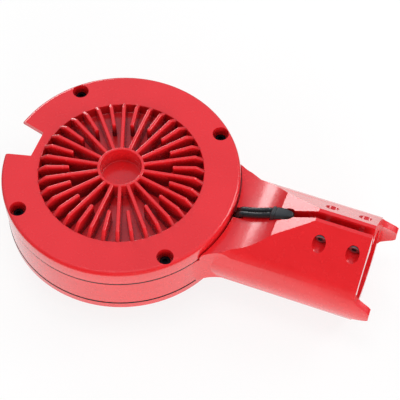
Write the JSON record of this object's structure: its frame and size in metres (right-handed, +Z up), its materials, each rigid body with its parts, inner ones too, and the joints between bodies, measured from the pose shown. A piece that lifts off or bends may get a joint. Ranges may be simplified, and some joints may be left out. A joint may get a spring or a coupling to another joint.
{
  "type": "dryer blower head",
  "caption": "Flat round red blower head for an arm-mounted pet dryer: finned motor cover, notched rim with air mouth, and a cast neck with a slit clamp socket.",
  "frame": {"origin": "centre of the clamp socket's mouth, on the socket's axis", "axes": "+X leaves the socket along its axis, away from the drum; +Z is up, out of the finned cover, along the drum's axis; +Y completes the right hand"},
  "size_m": [0.2482, 0.1508, 0.0763],
  "materials": {
    "red_paint_body": "smooth red powder coat, semi-gloss",
    "red_paint_cover": "smooth red powder coat, semi-gloss",
    "red_paint_base": "smooth red powder coat, semi-gloss",
    "gasket_rubber": "dull black sheet rubber",
    "black_screw": "black oxide",
    "zinc_screw": "bright zinc plate",
    "lead_rubber": "satin black lead jacket",
    "boot_rubber": "moulded black rubber",
    "block_plastic": "black moulded plastic",
    "contact_brass": "bright brass",
    "liner_plastic": "black moulded plastic",
    "terminal_plastic": "green moulded plastic",
    "board": "green solder mask",
    "pad": "grey gap pad",
    "lamination": "stacked steel sheets",
    "winding": "enamelled copper wire",
    "bearing_steel": "ground steel",
    "spring_steel": "phosphated spring steel",
    "bell_steel": "zinc plated steel",
    "magnet": "sintered magnet, nickel grey",
    "fan_plastic": "glass filled black plastic",
    "filter_foam": "open cell filter foam"
  },
  "bodies": {
    "housing": {"body_casting": "red_paint_body", "finned_cover": "red_paint_cover", "base_cover": "red_paint_base", "cover_gasket": "gasket_rubber", "base_gasket": "gasket_rubber", "cover_screws": "black_screw", "base_screws": "black_screw", "clamp_screws": "zinc_screw", "clamp_nuts": "zinc_screw", "power_lead": "lead_rubber", "lead_boot": "boot_rubber", "contact_block": "block_plastic", "contact_sleeves": "contact_brass", "terminal_block": "terminal_plastic", "scroll_liner": "liner_plastic", "drive_board": "board", "board_screws": "zinc_screw", "thermal_pad": "pad", "stator_core": "lamination", "stator_windings": "winding", "upper_bearing": "bearing_steel", "lower_bearing": "bearing_steel", "intake_filter": "filter_foam"},
    "rotor": {"motor_shaft": "bearing_steel", "shaft_clip": "spring_steel", "rotor_bell": "bell_steel", "rotor_magnets": "magnet", "fan_wheel": "fan_plastic", "fan_screws": "zinc_screw"}
  },
  "joints": [
    {"name": "rotor_spin", "type": "hinge", "parent": "housing", "child": "rotor", "pos_m": [-0.1635, 0, 0], "axis": [0, 0, 1], "continuous": true}
  ]
}
